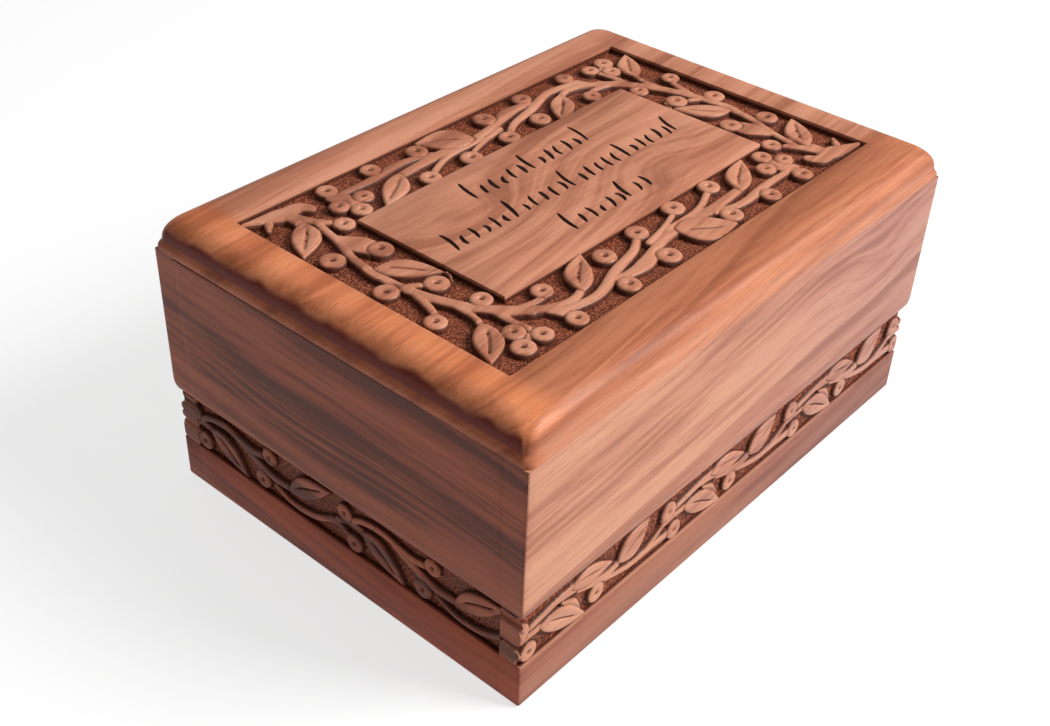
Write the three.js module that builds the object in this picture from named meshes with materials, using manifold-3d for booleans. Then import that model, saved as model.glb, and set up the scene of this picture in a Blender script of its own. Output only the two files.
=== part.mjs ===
// A carved wooden urn box: four side boards, a bottom board and a lift-off lid.
// Millimetres, +Z up. The origin is at the middle of the underside, the long side lies along X
// and the front faces -Y.
import * as THREE from 'three';
import { mergeVertices } from 'three/addons/utils/BufferGeometryUtils.js';
import Module from 'manifold-3d';

const wasm = await Module();
wasm.setup();

// Driving dimensions: the box
const LENGTH = 243;
const DEPTH = 173;
const HEIGHT = 116;
const WALL = 10;
const BOTTOM = 8;
const BOTTOM_REBATE = 4.5;
const GAP = 0.3;

// Driving dimensions: the lid
const LID = 13;
const LID_CORNER = 2.5;
const LID_FILLET = 4.5;
const LID_STEP = 1.1;
const LID_LAND = 1.5;
const PLUG = 4;
const PLUG_PLAY = 0.6;
const RAIL_LEFT = 17.5;
const RAIL_RIGHT = 19.5;
const RAIL_SIDES = 23.5;
const CHANNEL_ENDS = 30;
const CHANNEL_SIDES = 29;
const CHANNEL_SUNK = 3;
const LID_RELIEF = 2.7;

// Driving dimensions: the carved band round the foot
const SKIRT = 19;
const BAND = 22;
const BAND_SUNK = 2;
const SKIRT_INSET = 1;
const FOOT_ROUND = 1.5;
const LIP_DROP = 2.2;
const LIP_RISE = 6;

// Driving dimensions: carving strokes
const BERRY_SIDES = 7;
const DIMPLE_SIDES = 4;
const DIMPLE = 1.4;
const DIMPLE_SUNK = 1.1;
const VEIN_WIDTH = 1.1;
const VEIN_SUNK = 0.9;
const VEIN_SHARE = 0.56;
const STALK_WIDTHS = [3, 3.4, 4];
const STROKE_SUNK = 0.4;
const STROKE_WIDTH = 1.4;

const seam = HEIGHT - LID;
const bandTop = SKIRT + BAND;
const recess = { x: (LENGTH - RAIL_LEFT - RAIL_RIGHT) / 2, y: DEPTH / 2 - RAIL_SIDES };
const recessShift = (RAIL_LEFT - RAIL_RIGHT) / 2;
const panel = { x: recess.x - CHANNEL_ENDS, y: recess.y - CHANNEL_SIDES };
const inside = { x: LENGTH / 2 - WALL, y: DEPTH / 2 - WALL };
const channelFloor = HEIGHT - CHANNEL_SUNK;

// The vine border is drawn for this recess and panel, in half sizes, and is stretched to those above.
const DRAWN_RECESS = { x: 103, y: 63 };
const DRAWN_PANEL = { x: 73, y: 34 };

// Half of the border, down the left side and along the near one. The other half is this one turned.
// A stem is its knots, then its width at the start, middle and end.
const BORDER_STEMS = [
  [[-102, 60], [-95, 58], [-87, 56], [-80.5, 56], [-78, 52.5], 1.6, 8.4, 4.6],
  [[-93, 57], [-95.5, 54], [-98, 51], 2, 3.4, 2],
  [[-87, 53], [-83, 45], [-78, 38], 6, 4, 2.6],
  [[-88, 53], [-88, 46], [-90, 42], 3, 3.4, 3],
  [[-83, 44], [-86, 30], [-90, 18], [-91.5, 0], [-88.5, -17], [-82, -32], [-72, -44], 3, 4, 5],
  [[-85, 31], [-82, 22], [-80, 15], 4, 10, 8],
  [[-91, 15], [-93, 7], [-92, -2], 1.6, 1.7, 2],
  [[-91, -12], [-93, -20], [-96, -27], 3, 3.2, 2.4],
  [[-86.5, -26], [-87, -34], [-90, -41], 3, 2.6, 3],
  [[-80, -36], [-80.5, -44], [-79.5, -53], 4, 3, 3],
  [[-80, -38], [-70, -41.5], [-60, -42], 3.4, 2.8, 2.2],
  [[-78, -39], [-67, -47], [-58, -49.6], [-49, -47], 5, 4, 3],
  [[-68, -47], [-65, -52], [-65, -57], 4, 6, 4],
  [[-64, -52], [-50, -53.6], [-34, -48.5], [-20, -45], [-12, -40], 3.5, 4.4, 3],
  [[-38, -52.8], [-26, -53.4], [-12, -49.2], 3, 6.4, 4],
  [[-15, -49.8], [0, -47.4], [20, -48.2], [41, -47], 4, 5, 4],
  [[-13, -46], [-2, -43.8], [11, -39.5], 3, 2.6, 2.2],
  [[-2, -45.6], [18, -44.6], [33, -38.5], 3, 2.8, 3],
  [[20, -50.5], [32, -53.6], [50, -52.2], [67, -52.4], 3, 4.4, 2.6],
  [[67, -52.4], [65.8, -47.5], [66, -40], 7, 9, 3],
];

// A leaf is its foot, its tip and its width, fuller on the left of the way to the tip when that is positive.
const BORDER_LEAVES = [
  [[-86.5, 47], [-101.5, 29.5], 10.5],
  [[-90, 8.5], [-74.8, -9], 10.5],
  [[-88, -37.5], [-102, -54.5], 10],
  [[-52, -49], [-35, -33.6], 10],
  [[0, -47], [19.5, -60.6], -15.5],
  [[39, -48.5], [59, -34.6], 10],
];

// A berry is its middle and its radius, then where its stalk leaves the stem, if it has one.
const BORDER_BERRIES = [
  [[-77, 36.4], 4], [[-95.6, 22], 4.6], [[-79.6, 15.8], 4.6], [[-96.4, -4], 4.5],
  [[-81.5, -12], 4.5, [-90, -6]], [[-97.5, -27], 4], [[-78.2, -28.5], 4, [-84.5, -29]],
  [[-84.6, -48], 4], [[-88.4, -55.4], 4.3, [-82, -52]], [[-79, -55], 3.9], [[-61, -39.2], 4],
  [[-65, -57.3], 4], [[-38.2, -57.2], 4.2, [-36, -52]], [[-30.6, -40.6], 4.4], [[-10.8, -39], 4.4],
  [[-14.7, -55.8], 4.6], [[11.5, -37.9], 4.6], [[33, -38.2], 4.3], [[22.6, -55.6], 4.4],
  [[44.6, -57.6], 4.1, [46, -52]], [[66, -57.4], 4.1, [66, -52]], [[66, -39.3], 4],
  [[59.4, -45.6], 4, [66, -49]], [[70.4, -46.2], 3.8, [66, -49]],
];

// The band is drawn from the left end of a unit and up from the foot of the band, for this height.
const DRAWN_BAND = 22;

const LONG_UNIT = {
  length: 78,
  start: 0,
  stems: [
    [[-2, 13.6], [10, 15.6], [22, 17.4], [32, 17.6], 2.2, 2.8, 2.6],
    [[18, 16.6], [29, 15], [38, 11.8], [46, 10.2], [54, 11.4], 2, 2.8, 3],
    [[30, 13.4], [44, 8.6], [58, 5.2], [69, 5.2], [80, 4.6], 2, 2.6, 3.6],
    [[-2, 11], [8, 11.6], [17, 10.4], 2, 2.4, 3],
    [[22, 13.6], [27.5, 10.4], [31, 5], 1.6, 3, 1.4],
    [[66, 5.6], [74, 9.4], [79, 14], 2, 2.2, 2],
  ],
  leaves: [
    [[26, 17], [48, 14.4], 8],
    [[51, 11], [67.5, 21.2], -12],
    [[10.5, 11.4], [34.5, 0.2], 9.6],
  ],
  berries: [
    [[79.2, 15.6], 4], [[83.5, 4.5], 3.9], [[39.8, 5.5], 4, [44, 9]],
  ],
};

const END_UNIT = {
  length: 81,
  start: 5,
  stems: [
    [[-2, 8.6], [5, 12.8], [13, 16.8], [22, 18.2], [37, 15.7], [46, 17], 2, 3, 3],
    [[29, 16.8], [38, 12.6], [48, 9.4], [58, 9.6], 3.4, 3.6, 3],
    [[1, 11], [10, 13], [17, 10.8], 2.2, 2.8, 3],
    [[-2, 9.4], [3, 8.6], [8, 5.4], 2, 2.4, 2],
    [[49, 6.4], [57, 3.2], [69, 4], [80, 9.2], 2, 3, 2.6],
  ],
  leaves: [
    [[56.5, 8.4], [79, 21], 9],
    [[13, 12.6], [33.5, 0.4], 9.4],
  ],
  berries: [
    [[46.6, 18], 3.6], [[9, 4.4], 3.8], [[42, 5.2], 3.9, [40, 12]], [[85.5, 15.8], 3.6],
  ],
};

// The cuts that run on over the ends of the front and back boards: how far up the band, and how tall
const CORNER_CUTS = [[17.4, 3.2], [6.4, 3]];
const CORNER_CUT_SUNK = 1;

// Rows of plain shallow strokes on the panel: middle, height, length and number of strokes
const STROKE_ROWS = [
  { x: -1, y: 20.5, tall: 13, long: 72, count: 7 },
  { x: 0, y: 1.8, tall: 12.5, long: 134, count: 13 },
  { x: -2, y: -17.8, tall: 12, long: 52, count: 5 },
];
const STROKE_LEAN = 0.22;
const STROKE_SHORT = 0.62;

// Solids

const MERGE = 1e-5;

function solidFrom(geometry) {
  const bare = geometry.clone();
  bare.deleteAttribute('normal');
  bare.deleteAttribute('uv');
  const merged = mergeVertices(bare, MERGE);
  return new wasm.Manifold(new wasm.Mesh({
    numProp: 3,
    vertProperties: new Float32Array(merged.attributes.position.array),
    triVerts: new Uint32Array(merged.index.array),
  }));
}

// Slivers thinner than this, left where carved strokes cross, are smoothed away
const SLIVER = 0.05;

function geometryFrom(solid) {
  const { vertProperties, triVerts } = solid.simplify(SLIVER).getMesh();
  const geometry = new THREE.BufferGeometry();
  geometry.setAttribute('position', new THREE.BufferAttribute(vertProperties, 3));
  geometry.setIndex(new THREE.BufferAttribute(triVerts, 1));
  geometry.computeVertexNormals();
  return geometry;
}

function block(low, high) {
  const size = high.clone().sub(low);
  const geometry = new THREE.BoxGeometry(size.x, size.y, size.z);
  const middle = low.clone().add(high).multiplyScalar(0.5);
  return solidFrom(geometry.translate(middle.x, middle.y, middle.z));
}

// A block that is centred on the Z axis
function slab(halfX, halfY, bottom, top) {
  return block(new THREE.Vector3(-halfX, -halfY, bottom), new THREE.Vector3(halfX, halfY, top));
}

function prism(outline, height) {
  const settings = { depth: height, bevelEnabled: false };
  return solidFrom(new THREE.ExtrudeGeometry(new THREE.Shape(outline), settings));
}

function union(solids) {
  return solids.reduce((sum, solid) => sum.add(solid));
}

// A closed stack of rings that all have the same number of points
function stack(rings) {
  const count = rings[0].length;
  const positions = rings.flat().flatMap((point) => [point.x, point.y, point.z]);
  const index = [];
  for (let level = 0; level < rings.length - 1; level += 1) {
    for (let k = 0; k < count; k += 1) {
      const a = level * count + k;
      const b = level * count + ((k + 1) % count);
      index.push(a, b, b + count, a, b + count, a + count);
    }
  }
  const last = (rings.length - 1) * count;
  for (let k = 1; k < count - 1; k += 1) {
    index.push(0, k + 1, k, last, last + k, last + k + 1);
  }
  const geometry = new THREE.BufferGeometry();
  geometry.setAttribute('position', new THREE.Float32BufferAttribute(positions, 3));
  geometry.setIndex(index);
  return solidFrom(geometry);
}

// Points of a quarter round from one end to the other, about a centre
function quarterRound(centre, radiusX, radiusY, startAngle, steps) {
  return Array.from({ length: steps + 1 }, (_, k) => {
    const angle = startAngle + (k / steps) * (Math.PI / 2);
    return new THREE.Vector2(centre.x + radiusX * Math.cos(angle), centre.y + radiusY * Math.sin(angle));
  });
}

const CORNER_STEPS = 2;

function roundedRectangle(halfX, halfY, radius, z) {
  const quarters = [[1, 1], [-1, 1], [-1, -1], [1, -1]];
  return quarters.flatMap(([signX, signY], turn) => {
    const centre = new THREE.Vector2(signX * (halfX - radius), signY * (halfY - radius));
    return quarterRound(centre, radius, radius, turn * (Math.PI / 2), CORNER_STEPS)
      .map((point) => new THREE.Vector3(point.x, point.y, z));
  });
}

// Carving: flat outlines of stems, leaves and berries

const STEM_TURN = 0.6;
const LEAF_STEPS = 4;

function smooth(knots) {
  return new THREE.CatmullRomCurve3(knots.map(([x, y]) => new THREE.Vector3(x, y, 0)), false, 'centripetal');
}

// How far a curve turns in all, in radians
function turning(curve) {
  const samples = 24;
  let total = 0;
  for (let k = 0; k < samples; k += 1) {
    total += curve.getTangent(k / samples).angleTo(curve.getTangent((k + 1) / samples));
  }
  return total;
}

// A strip along a curve, whose width runs from the start through the middle to the end
function stemOutline(knots, widthStart, widthMiddle, widthEnd) {
  const curve = smooth(knots);
  const steps = Math.max(knots.length - 1, Math.round(turning(curve) / STEM_TURN));
  const left = [];
  const right = [];
  for (let k = 0; k <= steps; k += 1) {
    const t = k / steps;
    const point = curve.getPointAt(t);
    const tangent = curve.getTangentAt(t);
    const toMiddle = THREE.MathUtils.lerp(widthStart, widthMiddle, Math.min(1, 2 * t));
    const half = THREE.MathUtils.lerp(toMiddle, widthEnd, Math.max(0, 2 * t - 1)) / 2;
    left.push(new THREE.Vector2(point.x - tangent.y * half, point.y + tangent.x * half));
    right.push(new THREE.Vector2(point.x + tangent.y * half, point.y - tangent.x * half));
  }
  return left.concat(right.reverse());
}

// A leaf bows on both sides of the line from foot to tip, more on the full side and more near the foot
const LEAF_FULL = 0.6;
const LEAF_BOW = 0.8;

function leafOutline([footX, footY], [tipX, tipY], width) {
  const foot = new THREE.Vector2(footX, footY);
  const way = new THREE.Vector2(tipX - footX, tipY - footY);
  const side = new THREE.Vector2(-way.y, way.x).normalize();
  const bow = (t, share) => {
    const out = Math.sin(Math.PI * t ** LEAF_BOW) * width * share;
    return foot.clone().addScaledVector(way, t).addScaledVector(side, out);
  };
  const outline = [];
  for (let k = 0; k < LEAF_STEPS; k += 1) {
    outline.push(bow(k / LEAF_STEPS, LEAF_FULL));
  }
  for (let k = LEAF_STEPS; k > 0; k -= 1) {
    outline.push(bow(k / LEAF_STEPS, LEAF_FULL - 1));
  }
  return outline;
}

// The slot down the middle of a leaf
function veinOutline([footX, footY], [tipX, tipY], width) {
  const foot = new THREE.Vector2(footX, footY);
  const way = new THREE.Vector2(tipX - footX, tipY - footY);
  const side = new THREE.Vector2(-way.y, way.x).normalize();
  const at = (t, out) => foot.clone().addScaledVector(way, t)
    .addScaledVector(side, out + (LEAF_FULL - 0.5) * width * Math.sin(Math.PI * t));
  const start = (1 - VEIN_SHARE) / 2;
  return [at(start, 0), at(0.5, -VEIN_WIDTH / 2), at(1 - start, 0), at(0.5, VEIN_WIDTH / 2)];
}

function circleOutline([x, y], radius, sides) {
  return Array.from({ length: sides }, (_, k) => {
    const angle = ((k + 0.5) / sides) * 2 * Math.PI;
    return new THREE.Vector2(x + radius * Math.cos(angle), y + radius * Math.sin(angle));
  });
}

// Raised carving on the plane z = 0, from just under it to the given height
const ROOT = 0.5;

function relief(drawing, place, scale, height) {
  const put = ([x, y]) => place(x, y);
  const standing = (outline) => prism(outline, height + ROOT).translate([0, 0, -ROOT]);
  const sunk = (outline, depth) => prism(outline, depth + ROOT).translate([0, 0, height - depth]);
  const raised = [];
  const cut = [];
  for (const stem of drawing.stems) {
    const widths = stem.slice(-3).map((width) => width * scale);
    raised.push(standing(stemOutline(stem.slice(0, -3).map(put), ...widths)));
  }
  for (const [foot, tip, width] of drawing.leaves) {
    raised.push(standing(leafOutline(put(foot), put(tip), width * scale)));
    cut.push(sunk(veinOutline(put(foot), put(tip), width * scale), VEIN_SUNK));
  }
  for (const [middle, radius, stalk] of drawing.berries) {
    raised.push(standing(circleOutline(put(middle), radius * scale, BERRY_SIDES)));
    cut.push(sunk(circleOutline(put(middle), DIMPLE * scale, DIMPLE_SIDES), DIMPLE_SUNK));
    if (stalk) {
      const widths = STALK_WIDTHS.map((width) => width * scale);
      raised.push(standing(stemOutline([put(stalk), put(middle)], ...widths)));
    }
  }
  return union(raised).subtract(union(cut));
}

// The outer form of the box under the lid

const FOOT_STEPS = 2;
const LIP_STEPS = 3;

// Half of the upright section: the foot's round, the flat skirt and band, the lip over it and the flat above
function outerSection(half) {
  const foot = new THREE.Vector2(half - SKIRT_INSET - FOOT_ROUND, FOOT_ROUND);
  const lip = new THREE.Vector2(half - LIP_DROP, bandTop + LIP_RISE);
  const right = [
    ...quarterRound(foot, FOOT_ROUND, FOOT_ROUND, -Math.PI / 2, FOOT_STEPS),
    new THREE.Vector2(half - SKIRT_INSET, bandTop),
    ...quarterRound(lip, LIP_DROP, LIP_RISE, -Math.PI / 2, LIP_STEPS),
    new THREE.Vector2(half, seam),
  ];
  const left = right.map((point) => new THREE.Vector2(-point.x, point.y)).reverse();
  return right.concat(left);
}

// The section stood up and run along X, centred
function sectionRun(half, run) {
  const settings = { depth: run, bevelEnabled: false };
  const geometry = new THREE.ExtrudeGeometry(new THREE.Shape(outerSection(half)), settings);
  geometry.translate(0, 0, -run / 2);
  geometry.rotateX(Math.PI / 2);
  return solidFrom(geometry.rotateZ(Math.PI / 2));
}

const OVER = 2;
const outerForm = sectionRun(DEPTH / 2, LENGTH + OVER)
  .intersect(sectionRun(LENGTH / 2, DEPTH + OVER).rotate([0, 0, 90]));

// The bottom board's seat in the side boards
const bottomSeat = slab(inside.x + BOTTOM_REBATE, inside.y + BOTTOM_REBATE, -OVER, BOTTOM + GAP);

// The side boards, each made as the front one and turned into its place

// The carving of one band, on a face that looks towards -Y at the distance away
function bandCarving(unit, run, away) {
  const tall = BAND / DRAWN_BAND;
  const carved = [];
  for (let left = unit.start - unit.length; left < run; left += unit.length) {
    const place = (x, y) => [left + x - run / 2, y * tall];
    carved.push(relief(unit, place, tall, BAND_SUNK));
  }
  const floor = away - SKIRT_INSET - BAND_SUNK;
  return union(carved).rotate([90, 0, 0]).translate([0, -floor, SKIRT]);
}

function sunkBand(halfRun, away) {
  const floor = away - SKIRT_INSET - BAND_SUNK;
  return block(new THREE.Vector3(-halfRun, -away - OVER, SKIRT), new THREE.Vector3(halfRun, -floor, bandTop));
}

// The space that the carving of a band keeps to, from the outer face to the inner one
function bandSpace(halfRun, away, inner) {
  return block(new THREE.Vector3(-halfRun, -away, SKIRT), new THREE.Vector3(halfRun, -inner, bandTop));
}

// The notches that carry the band of the end boards over the ends of the long ones
function cornerCuts() {
  const away = LENGTH / 2 - SKIRT_INSET;
  return union(CORNER_CUTS.map(([up, tall]) => {
    const low = new THREE.Vector3(-away - OVER, -inside.y - WALL - OVER, SKIRT + up);
    const high = new THREE.Vector3(-away + CORNER_CUT_SUNK, -inside.y, SKIRT + up + tall);
    return block(low, high);
  }));
}

function longBoard() {
  const half = LENGTH / 2;
  const board = block(new THREE.Vector3(-half, -DEPTH / 2, 0), new THREE.Vector3(half, -inside.y, seam));
  const carving = bandCarving(LONG_UNIT, LENGTH, DEPTH / 2)
    .intersect(bandSpace(half, DEPTH / 2, inside.y));
  const cuts = cornerCuts();
  return board.subtract(sunkBand(half + OVER, DEPTH / 2)).add(carving).intersect(outerForm)
    .subtract(bottomSeat).subtract(cuts).subtract(cuts.mirror([1, 0, 0]));
}

function endBoard() {
  const half = inside.y - GAP;
  const away = LENGTH / 2;
  const board = block(new THREE.Vector3(-half, -away, 0), new THREE.Vector3(half, -inside.x, seam));
  const carving = bandCarving(END_UNIT, DEPTH, away)
    .intersect(bandSpace(half, away, inside.x));
  return board.subtract(sunkBand(half + OVER, away)).add(carving)
    .rotate([0, 0, -90]).intersect(outerForm).subtract(bottomSeat);
}

function bottomBoard() {
  const play = BOTTOM_REBATE - GAP;
  return slab(inside.x + play, inside.y + play, 0, BOTTOM);
}

// The lid

const EDGE_STEPS = 6;

// Rounded rectangles from the seam up the land, in along the flared fillet and round the edge to the top
function lidBody() {
  const round = LID - LID_FILLET;
  const ring = (inset, z) => roundedRectangle(LENGTH / 2 - inset, DEPTH / 2 - inset, LID_CORNER, z);
  const edge = quarterRound(new THREE.Vector2(0, 0), round, round, 0, EDGE_STEPS)
    .map((point) => ring(LID_STEP + round - point.x, HEIGHT - round + point.y));
  return stack([ring(0, seam + GAP), ring(0, seam + LID_LAND), ...edge]);
}

function channel() {
  return slab(recess.x, recess.y, channelFloor, HEIGHT + OVER)
    .subtract(slab(panel.x, panel.y, channelFloor - OVER, HEIGHT + OVER));
}

// From a place on the drawing to the same place in the border as it is sized
function stretch(value, drawnPanel, drawnRecess, toPanel, toRecess) {
  const reach = Math.abs(value);
  if (reach <= drawnPanel) {
    return (value * toPanel) / drawnPanel;
  }
  const share = (reach - drawnPanel) / (drawnRecess - drawnPanel);
  return Math.sign(value) * (toPanel + share * (toRecess - toPanel));
}

function borderPlace(x, y) {
  return [
    stretch(x, DRAWN_PANEL.x, DRAWN_RECESS.x, panel.x, recess.x),
    stretch(y, DRAWN_PANEL.y, DRAWN_RECESS.y, panel.y, recess.y),
  ];
}

function borderCarving() {
  const scale = Math.min(CHANNEL_ENDS, CHANNEL_SIDES) / (DRAWN_RECESS.y - DRAWN_PANEL.y);
  const drawing = { stems: BORDER_STEMS, leaves: BORDER_LEAVES, berries: BORDER_BERRIES };
  const half = relief(drawing, borderPlace, scale, LID_RELIEF).translate([0, 0, channelFloor]);
  return half.add(half.rotate([0, 0, 180])).intersect(slab(recess.x, recess.y, channelFloor - ROOT, HEIGHT));
}

// One leaning stroke, with pointed ends
function strokeOutline(x, y, tall) {
  const lean = (STROKE_LEAN * tall) / 2;
  const half = STROKE_WIDTH / 2;
  return [
    new THREE.Vector2(x - lean, y - tall / 2),
    new THREE.Vector2(x + half, y),
    new THREE.Vector2(x + lean, y + tall / 2),
    new THREE.Vector2(x - half, y),
  ];
}

// Strokes of two heights by turns, the tall ones standing up from the row
function strokes() {
  const scaleX = panel.x / DRAWN_PANEL.x;
  const scaleY = panel.y / DRAWN_PANEL.y;
  const cuts = STROKE_ROWS.flatMap((row) => Array.from({ length: row.count }, (_, k) => {
    const x = row.x + ((k + 0.5) / row.count - 0.5) * row.long;
    const tall = k % 3 === 0 ? row.tall : row.tall * STROKE_SHORT;
    const foot = row.y - row.tall / 2;
    const outline = strokeOutline(x * scaleX, (foot + tall / 2) * scaleY, tall * scaleY);
    return prism(outline, STROKE_SUNK + OVER).translate([0, 0, HEIGHT - STROKE_SUNK]);
  }));
  return union(cuts);
}

function lid() {
  const under = seam + GAP;
  const plug = slab(inside.x - PLUG_PLAY, inside.y - PLUG_PLAY, under - PLUG, under + OVER);
  const toRecess = [recessShift, 0, 0];
  return lidBody().add(plug).subtract(channel().translate(toRecess))
    .add(borderCarving().translate(toRecess)).subtract(strokes().translate(toRecess));
}

// The whole box

const WOOD = { lid: 0xb8744c, front: 0xc58766, end: 0x74442f, bottom: 0x8a5a40 };

function piece(name, solid, color) {
  const material = new THREE.MeshStandardMaterial({ color, roughness: 0.38, metalness: 0 });
  const mesh = new THREE.Mesh(geometryFrom(solid), material);
  mesh.name = name;
  return mesh;
}

const urn = new THREE.Group();
const frontBoard = longBoard();
const leftEndBoard = endBoard();
urn.add(piece('lid', lid(), WOOD.lid));
urn.add(piece('front_board', frontBoard, WOOD.front));
urn.add(piece('back_board', frontBoard.rotate([0, 0, 180]), WOOD.front));
urn.add(piece('left_end_board', leftEndBoard, WOOD.end));
urn.add(piece('right_end_board', leftEndBoard.rotate([0, 0, 180]), WOOD.end));
urn.add(piece('bottom_board', bottomBoard(), WOOD.bottom));

export default urn;
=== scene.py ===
import math

import bmesh
import bpy
import numpy as np
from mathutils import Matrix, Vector
from mathutils.geometry import delaunay_2d_cdt


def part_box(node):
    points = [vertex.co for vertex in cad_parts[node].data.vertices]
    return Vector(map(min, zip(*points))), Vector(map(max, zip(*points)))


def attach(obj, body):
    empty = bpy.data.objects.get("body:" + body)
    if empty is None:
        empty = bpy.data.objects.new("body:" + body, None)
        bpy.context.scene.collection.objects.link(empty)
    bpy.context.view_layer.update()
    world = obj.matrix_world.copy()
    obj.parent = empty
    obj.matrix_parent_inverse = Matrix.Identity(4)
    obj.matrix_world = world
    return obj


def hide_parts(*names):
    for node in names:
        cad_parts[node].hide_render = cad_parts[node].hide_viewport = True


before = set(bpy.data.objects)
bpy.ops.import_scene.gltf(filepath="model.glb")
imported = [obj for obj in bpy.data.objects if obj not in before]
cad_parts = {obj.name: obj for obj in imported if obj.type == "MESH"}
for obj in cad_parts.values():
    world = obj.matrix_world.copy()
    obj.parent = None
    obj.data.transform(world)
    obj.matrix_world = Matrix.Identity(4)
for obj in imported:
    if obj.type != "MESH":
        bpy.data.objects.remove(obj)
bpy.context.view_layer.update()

MM = 0.001
FAR = 1e3
SEED = 11


def corners(node):
    low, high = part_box(node)
    return np.array(low) / MM, np.array(high) / MM


# Sizes that the frame gives
lid_low, lid_high = corners("lid")
_, front_high = corners("front_board")
_, left_high = corners("left_end_board")
LENGTH = 2 * lid_high[0]
DEPTH = 2 * lid_high[1]
HEIGHT = lid_high[2]
SEAM = front_high[2]
INSIDE_X = -left_high[0]
INSIDE_Y = -front_high[1]
PLUG_FOOT = lid_low[2]

# Sizes of the carving and the profiles, as the solids have them
RAIL_LEFT = 17.5
RAIL_RIGHT = 19.5
RAIL_SIDES = 23.5
RECESS = ((LENGTH - RAIL_LEFT - RAIL_RIGHT) / 2, DEPTH / 2 - RAIL_SIDES)
RECESS_SHIFT = (RAIL_LEFT - RAIL_RIGHT) / 2
PANEL = (RECESS[0] - 30, RECESS[1] - 29)
CHANNEL_SUNK = 3
LID_RELIEF = 2.75
SKIRT = 19
BAND = 22
BAND_SUNK = 2
SKIRT_INSET = 1
FOOT_ROUND = 1.5
LIP_DROP = 2.2
LIP_RISE = 6
BOTTOM_SEAT = 8.3
BOTTOM_REBATE = 4.5
CORNER_CUTS = ((17.4, 3.2), (6.4, 3))
CORNER_CUT_SUNK = 1
LID_SIDE = 4.5
LID_STEP = 1.1
LID_LAND = 1.5
PLUG_PLAY = 0.6

# Finer sizes that only the fine surface has
SLACK = 1e-6
LID_PITCH = 0.455
BAND_PITCH = 0.3
WALL_RUN = 0.4
ARRIS = 0.3
BOARD_ARRIS = 0.7
END_ARRIS = 0.15
LEDGE = 0.1
SLIVER = 0.02
HAIRLINE = 0.03
CHAMFER = 0.06
SEAM_DIP = 0.5
LID_CORNER = 3.5
LID_CORNER_GAIN = 4.5
PLUG_CORNER = 1.5
PLUG_CHAMFER = 0.6
CORNER_CUT_SLOPE = 0.5
PLAIN_BELOW_SEAM = 20
STIPPLE = 0.17
SHARP_DEGREES = 44

# Steps of the curves, and how many points of the carving meet one point of a plain face
FLARE_STEPS = 7
LID_ROUND_STEPS = 14
FOOT_STEPS = 7
LIP_STEPS = 8
LID_THIN = 8
BOARD_THIN = 10

# How the motifs stand, as shares of the full relief
WALL_SHARE = 0.7
CROWN_SHARE = 0.3
GROUND_SHARE = 0.05
TOP_SPREAD = 0.07
STEM_LOWER = 0.06
NOTCH_SHARE = 0.35

# Widths on the motifs, and how far points move onto their edges
STALK_WIDTHS = (2.4, 2.6, 3)
NOTCH_HALF = 0.4
COVERED = 0.3
EDGE_LINES = (-WALL_RUN, 0, 0.45)
SNAP_REACH = 0.3
SNAP_SHARE = 0.42
SNAP_PASSES = 2

# Half of the lid's border, as the solid has it, with a few finer strokes
BORDER_STEMS = [
    [(-102, 60), (-95, 58), (-87, 56), (-80.5, 56), (-78, 52.5), 1.6, 8.4, 4.6],
    [(-93, 57), (-95.5, 54), (-98, 51), 2, 3.4, 2],
    [(-87, 53), (-83, 45), (-78, 38), 6, 4, 2.6],
    [(-88, 53), (-88, 46), (-90, 42), 3, 3.4, 3],
    [(-83, 44), (-86, 30), (-90, 18), (-91.5, 0), (-88.5, -17), (-82, -32), (-72, -44), 3, 4, 5],
    [(-85, 31), (-82, 22), (-80, 15), 4, 10, 8],
    [(-91, 15), (-93, 7), (-92, -2), 1.6, 1.7, 2],
    [(-91, -12), (-93, -20), (-96, -27), 3, 3.2, 2.4],
    [(-86.5, -26), (-87, -34), (-90, -41), 3, 2.6, 3],
    [(-80, -36), (-80.5, -44), (-79.5, -53), 4, 3, 3],
    [(-80, -38), (-70, -41.5), (-60, -42), 3.4, 2.8, 2.2],
    [(-78, -39), (-67, -47), (-58, -49.6), (-49, -47), 5, 4, 3],
    [(-68, -47), (-65, -52), (-65, -57), 4, 6, 4],
    [(-64, -52), (-50, -53.6), (-34, -48.5), (-20, -45), (-12, -40), 3.5, 4.4, 3],
    [(-38, -52.8), (-26, -53.4), (-12, -49.2), 3, 6.4, 4],
    [(-15, -49.8), (0, -47.4), (20, -48.2), (41, -47), 4, 5, 4],
    [(-13, -46), (-2, -43.8), (11, -39.5), 3, 2.6, 2.2],
    [(-2, -45.6), (18, -44.6), (33, -38.5), 3, 2.8, 3],
    [(20, -50.5), (32, -53.6), (50, -52.2), (67, -52.4), 3, 4.4, 2.6],
    [(67, -52.4), (65.8, -47.5), (66, -40), 7, 9, 3],
    [(-75.5, -6), (-74.8, -11), (-77, -14.5), 1.5, 1.2, 1],
]
BORDER_LEAVES = [
    [(-86.5, 47), (-101.5, 29.5), 10.5],
    [(-90, 8.5), (-74.8, -9), 10.5],
    [(-88, -37.5), (-102, -54.5), 10],
    [(-52, -49), (-35, -33.6), 10],
    [(0, -47), (19.5, -60.6), -15.5],
    [(39, -48.5), (59, -34.6), 10],
]
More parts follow.
